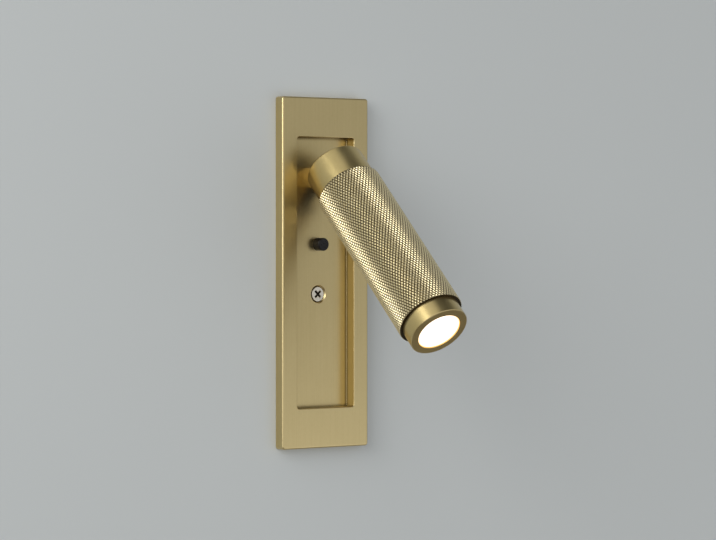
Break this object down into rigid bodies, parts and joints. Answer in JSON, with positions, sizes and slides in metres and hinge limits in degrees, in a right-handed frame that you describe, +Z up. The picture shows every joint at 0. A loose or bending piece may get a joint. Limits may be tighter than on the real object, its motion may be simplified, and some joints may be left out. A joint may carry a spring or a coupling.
{
  "type": "wall reading lamp",
  "caption": "Bedside wall reading lamp: a knurled brass head that tilts out of a recessed tall wall plate, with a spring plunger switch in the recess.",
  "frame": {"origin": "on the wall plane, at the middle between the two wall screw holes, which is the middle of the plate", "axes": "+X to the right along the wall, +Y into the wall, +Z up; the head stands out towards -Y"},
  "size_m": [0.055, 0.1464, 0.18],
  "materials": {
    "satin_brass": "fine satin, champagne brass tone",
    "knurled_brass": "fine diamond knurl, champagne brass tone",
    "screw_steel": "bright zinc",
    "box_steel": "galvanised sheet",
    "contact_brass": "bare, turned",
    "spring_steel": "drawn wire",
    "black_plastic": "moulded, smooth",
    "white_plastic": "moulded, fine grain",
    "board_green": "lacquered circuit board",
    "board_white": "white lacquered metal-core board",
    "can_dark": "sleeved component",
    "foam": "closed-cell foam",
    "rubber": "soft moulded rubber",
    "sink_aluminium": "as extruded",
    "reflector_silver": "bright vacuum-metallised",
    "emitter_yellow": "phosphor",
    "lens_frosted": "frosted, lit warm white from behind"
  },
  "bodies": {
    "wall_side": {"front_plate": "satin_brass", "back_box": "box_steel", "wall_seal": "foam", "box_bridge": "box_steel", "bridge_nut": "screw_steel", "fixing_screw": "screw_steel", "hinge_bracket": "satin_brass", "hinge_bracket_screws": "screw_steel", "switch_body": "black_plastic", "switch_back": "black_plastic", "switch_screws": "screw_steel", "switch_contacts": "contact_brass", "switch_spring": "spring_steel", "driver_case": "white_plastic", "driver_lid": "white_plastic", "driver_board": "board_green", "driver_transformer": "can_dark", "driver_capacitor": "can_dark", "driver_screws": "screw_steel", "terminal_block": "white_plastic", "block_screws": "screw_steel", "terminal_inserts": "contact_brass", "terminal_screws": "screw_steel", "cable_grommet": "rubber", "earth_screw": "contact_brass"},
    "head": {"collar": "satin_brass", "knurled_sleeve": "knurled_brass", "bezel": "satin_brass", "hinge_yoke": "contact_brass", "pivot_bolt": "screw_steel", "pivot_nut": "screw_steel", "friction_washers": "white_plastic", "heat_sink": "sink_aluminium", "led_board": "board_white", "board_screws": "screw_steel", "led_emitter": "emitter_yellow", "reflector": "reflector_silver", "lens_seal": "rubber", "lens": "lens_frosted"},
    "plunger": {"switch_plunger": "black_plastic", "contact_bridge": "contact_brass"}
  },
  "joints": [
    {"name": "head_tilt", "type": "hinge", "parent": "wall_side", "child": "head", "pos_m": [0, -0.02185, 0.0459], "axis": [-1, 0, 0], "range_deg": [-45.8, 44.2]},
    {"name": "switch_press", "type": "slide", "parent": "wall_side", "child": "plunger", "axis": [0, 1, 0], "range_m": [0, 0.0035], "stiffness_N_per_m": 300, "springref_m": -0.004, "deforming": ["switch_spring"]}
  ]
}
